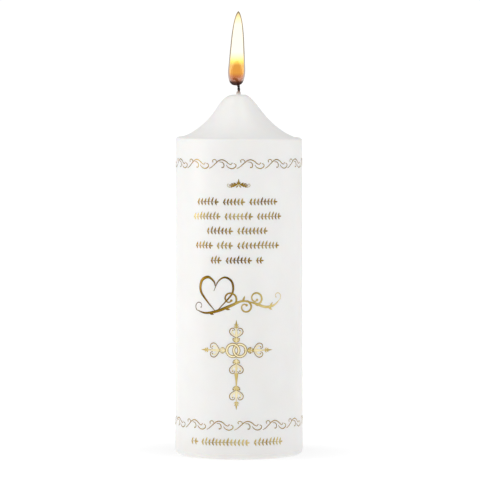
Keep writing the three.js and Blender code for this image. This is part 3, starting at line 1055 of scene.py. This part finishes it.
def make_camera():
    """A long lens, a little above the rim and tilted slightly down."""
    data = bpy.data.cameras.new("camera")
    data.lens, data.sensor_width = LENS_MM, SENSOR_MM
    camera = bpy.data.objects.new("camera", data)
    turn = math.radians(CAMERA_TURN)
    right, back = CAMERA_DISTANCE * math.sin(turn), CAMERA_DISTANCE * math.cos(turn)
    camera.location = (right + CAMERA_SHIFT, -back, CAMERA_HEIGHT)
    camera.rotation_euler = (math.radians(90 - CAMERA_TILT), 0, turn)
    bpy.context.scene.collection.objects.link(camera)
    bpy.context.scene.camera = camera


def soft_light(name, turn_degrees, rise_degrees, size, power):
    """A soft box aimed at the pillar's middle: turned from the front towards +X, and raised."""
    turn, rise = math.radians(turn_degrees), math.radians(rise_degrees)
    level = LIGHT_DISTANCE * math.cos(rise)
    step = Vector((level * math.sin(turn), -level * math.cos(turn), LIGHT_DISTANCE * math.sin(rise)))
    data = bpy.data.lights.new(name, "AREA")
    data.shape, data.size, data.size_y = "RECTANGLE", size[0], size[1]
    data.energy = power
    light = bpy.data.objects.new(name, data)
    light.location = Vector(LIGHT_TARGET) + step
    light.rotation_euler = (-step).to_track_quat("-Z", "Y").to_euler()
    bpy.context.scene.collection.objects.link(light)


def make_lights():
    soft_light("key", -80, 55, (1.2, 1.2), 5.0)
    soft_light("side", -78, 5, (0.6, 1.0), 4.8)
    soft_light("edge", 60, 30, (0.5, 1.0), 1.7)
    soft_light("top", 48, 72, (0.8, 0.8), 5.5)


def make_world():
    """White to the camera; as light, a softer white that fades towards the zenith."""
    world = bpy.data.worlds.new("studio")
    bpy.context.scene.world = world
    world.use_nodes = True
    tree = world.node_tree
    tree.nodes.clear()
    path = tree.nodes.new("ShaderNodeLightPath")
    seen = tree.nodes.new("ShaderNodeBackground")
    seen.inputs["Color"].default_value = (1, 1, 1, 1)
    seen.inputs["Strength"].default_value = 1.05
    place = tree.nodes.new("ShaderNodeTexCoord")
    split = tree.nodes.new("ShaderNodeSeparateXYZ")
    fade = tree.nodes.new("ShaderNodeMapRange")
    for socket, value in zip(fade.inputs[1:5], (0.0, 1.0, 0.62, 0.42)):
        socket.default_value = value
    light = tree.nodes.new("ShaderNodeBackground")
    light.inputs["Color"].default_value = (0.985, 0.99, 1, 1)
    mix = tree.nodes.new("ShaderNodeMixShader")
    out = tree.nodes.new("ShaderNodeOutputWorld")
    tree.links.new(place.outputs["Generated"], split.inputs[0])
    tree.links.new(split.outputs["Z"], fade.inputs[0])
    tree.links.new(fade.outputs[0], light.inputs["Strength"])
    tree.links.new(path.outputs["Is Camera Ray"], mix.inputs[0])
    tree.links.new(light.outputs[0], mix.inputs[1])
    tree.links.new(seen.outputs[0], mix.inputs[2])
    tree.links.new(mix.outputs[0], out.inputs[0])


def make_floor():
    """A pale round floor that glows, with a painted contact shadow: it glows less close round the
    candle.
    """
    radius_mm, depth_mm, steps = 6000, 0.05, 96
    angles = np.linspace(0, -2 * np.pi, steps, endpoint=False)
    circle = radius_mm * np.column_stack((np.sin(angles), np.cos(angles)))
    points = np.column_stack((circle, np.full(steps, -depth_mm)))
    floor = new_object("floor", points, [tuple(range(steps))], smooth=False)
    m = Nodes("floor")
    m.set(Base_Color=(0.42, 0.42, 0.42, 1), Roughness=0.8, Emission_Strength=1.0)
    m.set(Specular_IOR_Level=0.1)
    away = m.tree.nodes.new("ShaderNodeVectorMath")
    away.operation = "LENGTH"
    m.link(m.place, away.inputs[0])
    # Painted contact shadow: the floor's glow is weaker close round the candle and grows outwards.
    glow = m.ramp(
        m.spread(away.outputs["Value"], 0.0, 0.3),
        [(0.12, (0.6, 0.6, 0.6)), (0.35, (0.76, 0.76, 0.76)), (1.0, (0.84, 0.84, 0.84))],
    )
    m.link(glow.outputs[0], m.shader.inputs["Emission Color"])
    floor.data.materials.append(m.material)


bpy.context.scene.view_settings.view_transform = "Standard"
make_camera()
make_world()
make_lights()
make_floor()
make_wax()
make_wick()
make_tab()
make_mantle()
make_flame_body()
make_flame_cones()
make_border("top_border_ornament", "top_border_foil", TOP_CREST_MM)
make_border("bottom_border_ornament", "bottom_border_foil", BOTTOM_CREST_MM)
make_crest()
for row, words in enumerate(VERSE_WORDS, 1):
    make_garland(f"verse_row_{row}_ornament", f"verse_row_{row}_foil", words, VERSE_TONE, row)
make_garland("caption_row_ornament", "caption_row_foil", CAPTION_WORDS, CAPTION_TONE, CAPTION_SEED)
make_flourish()
make_cross()
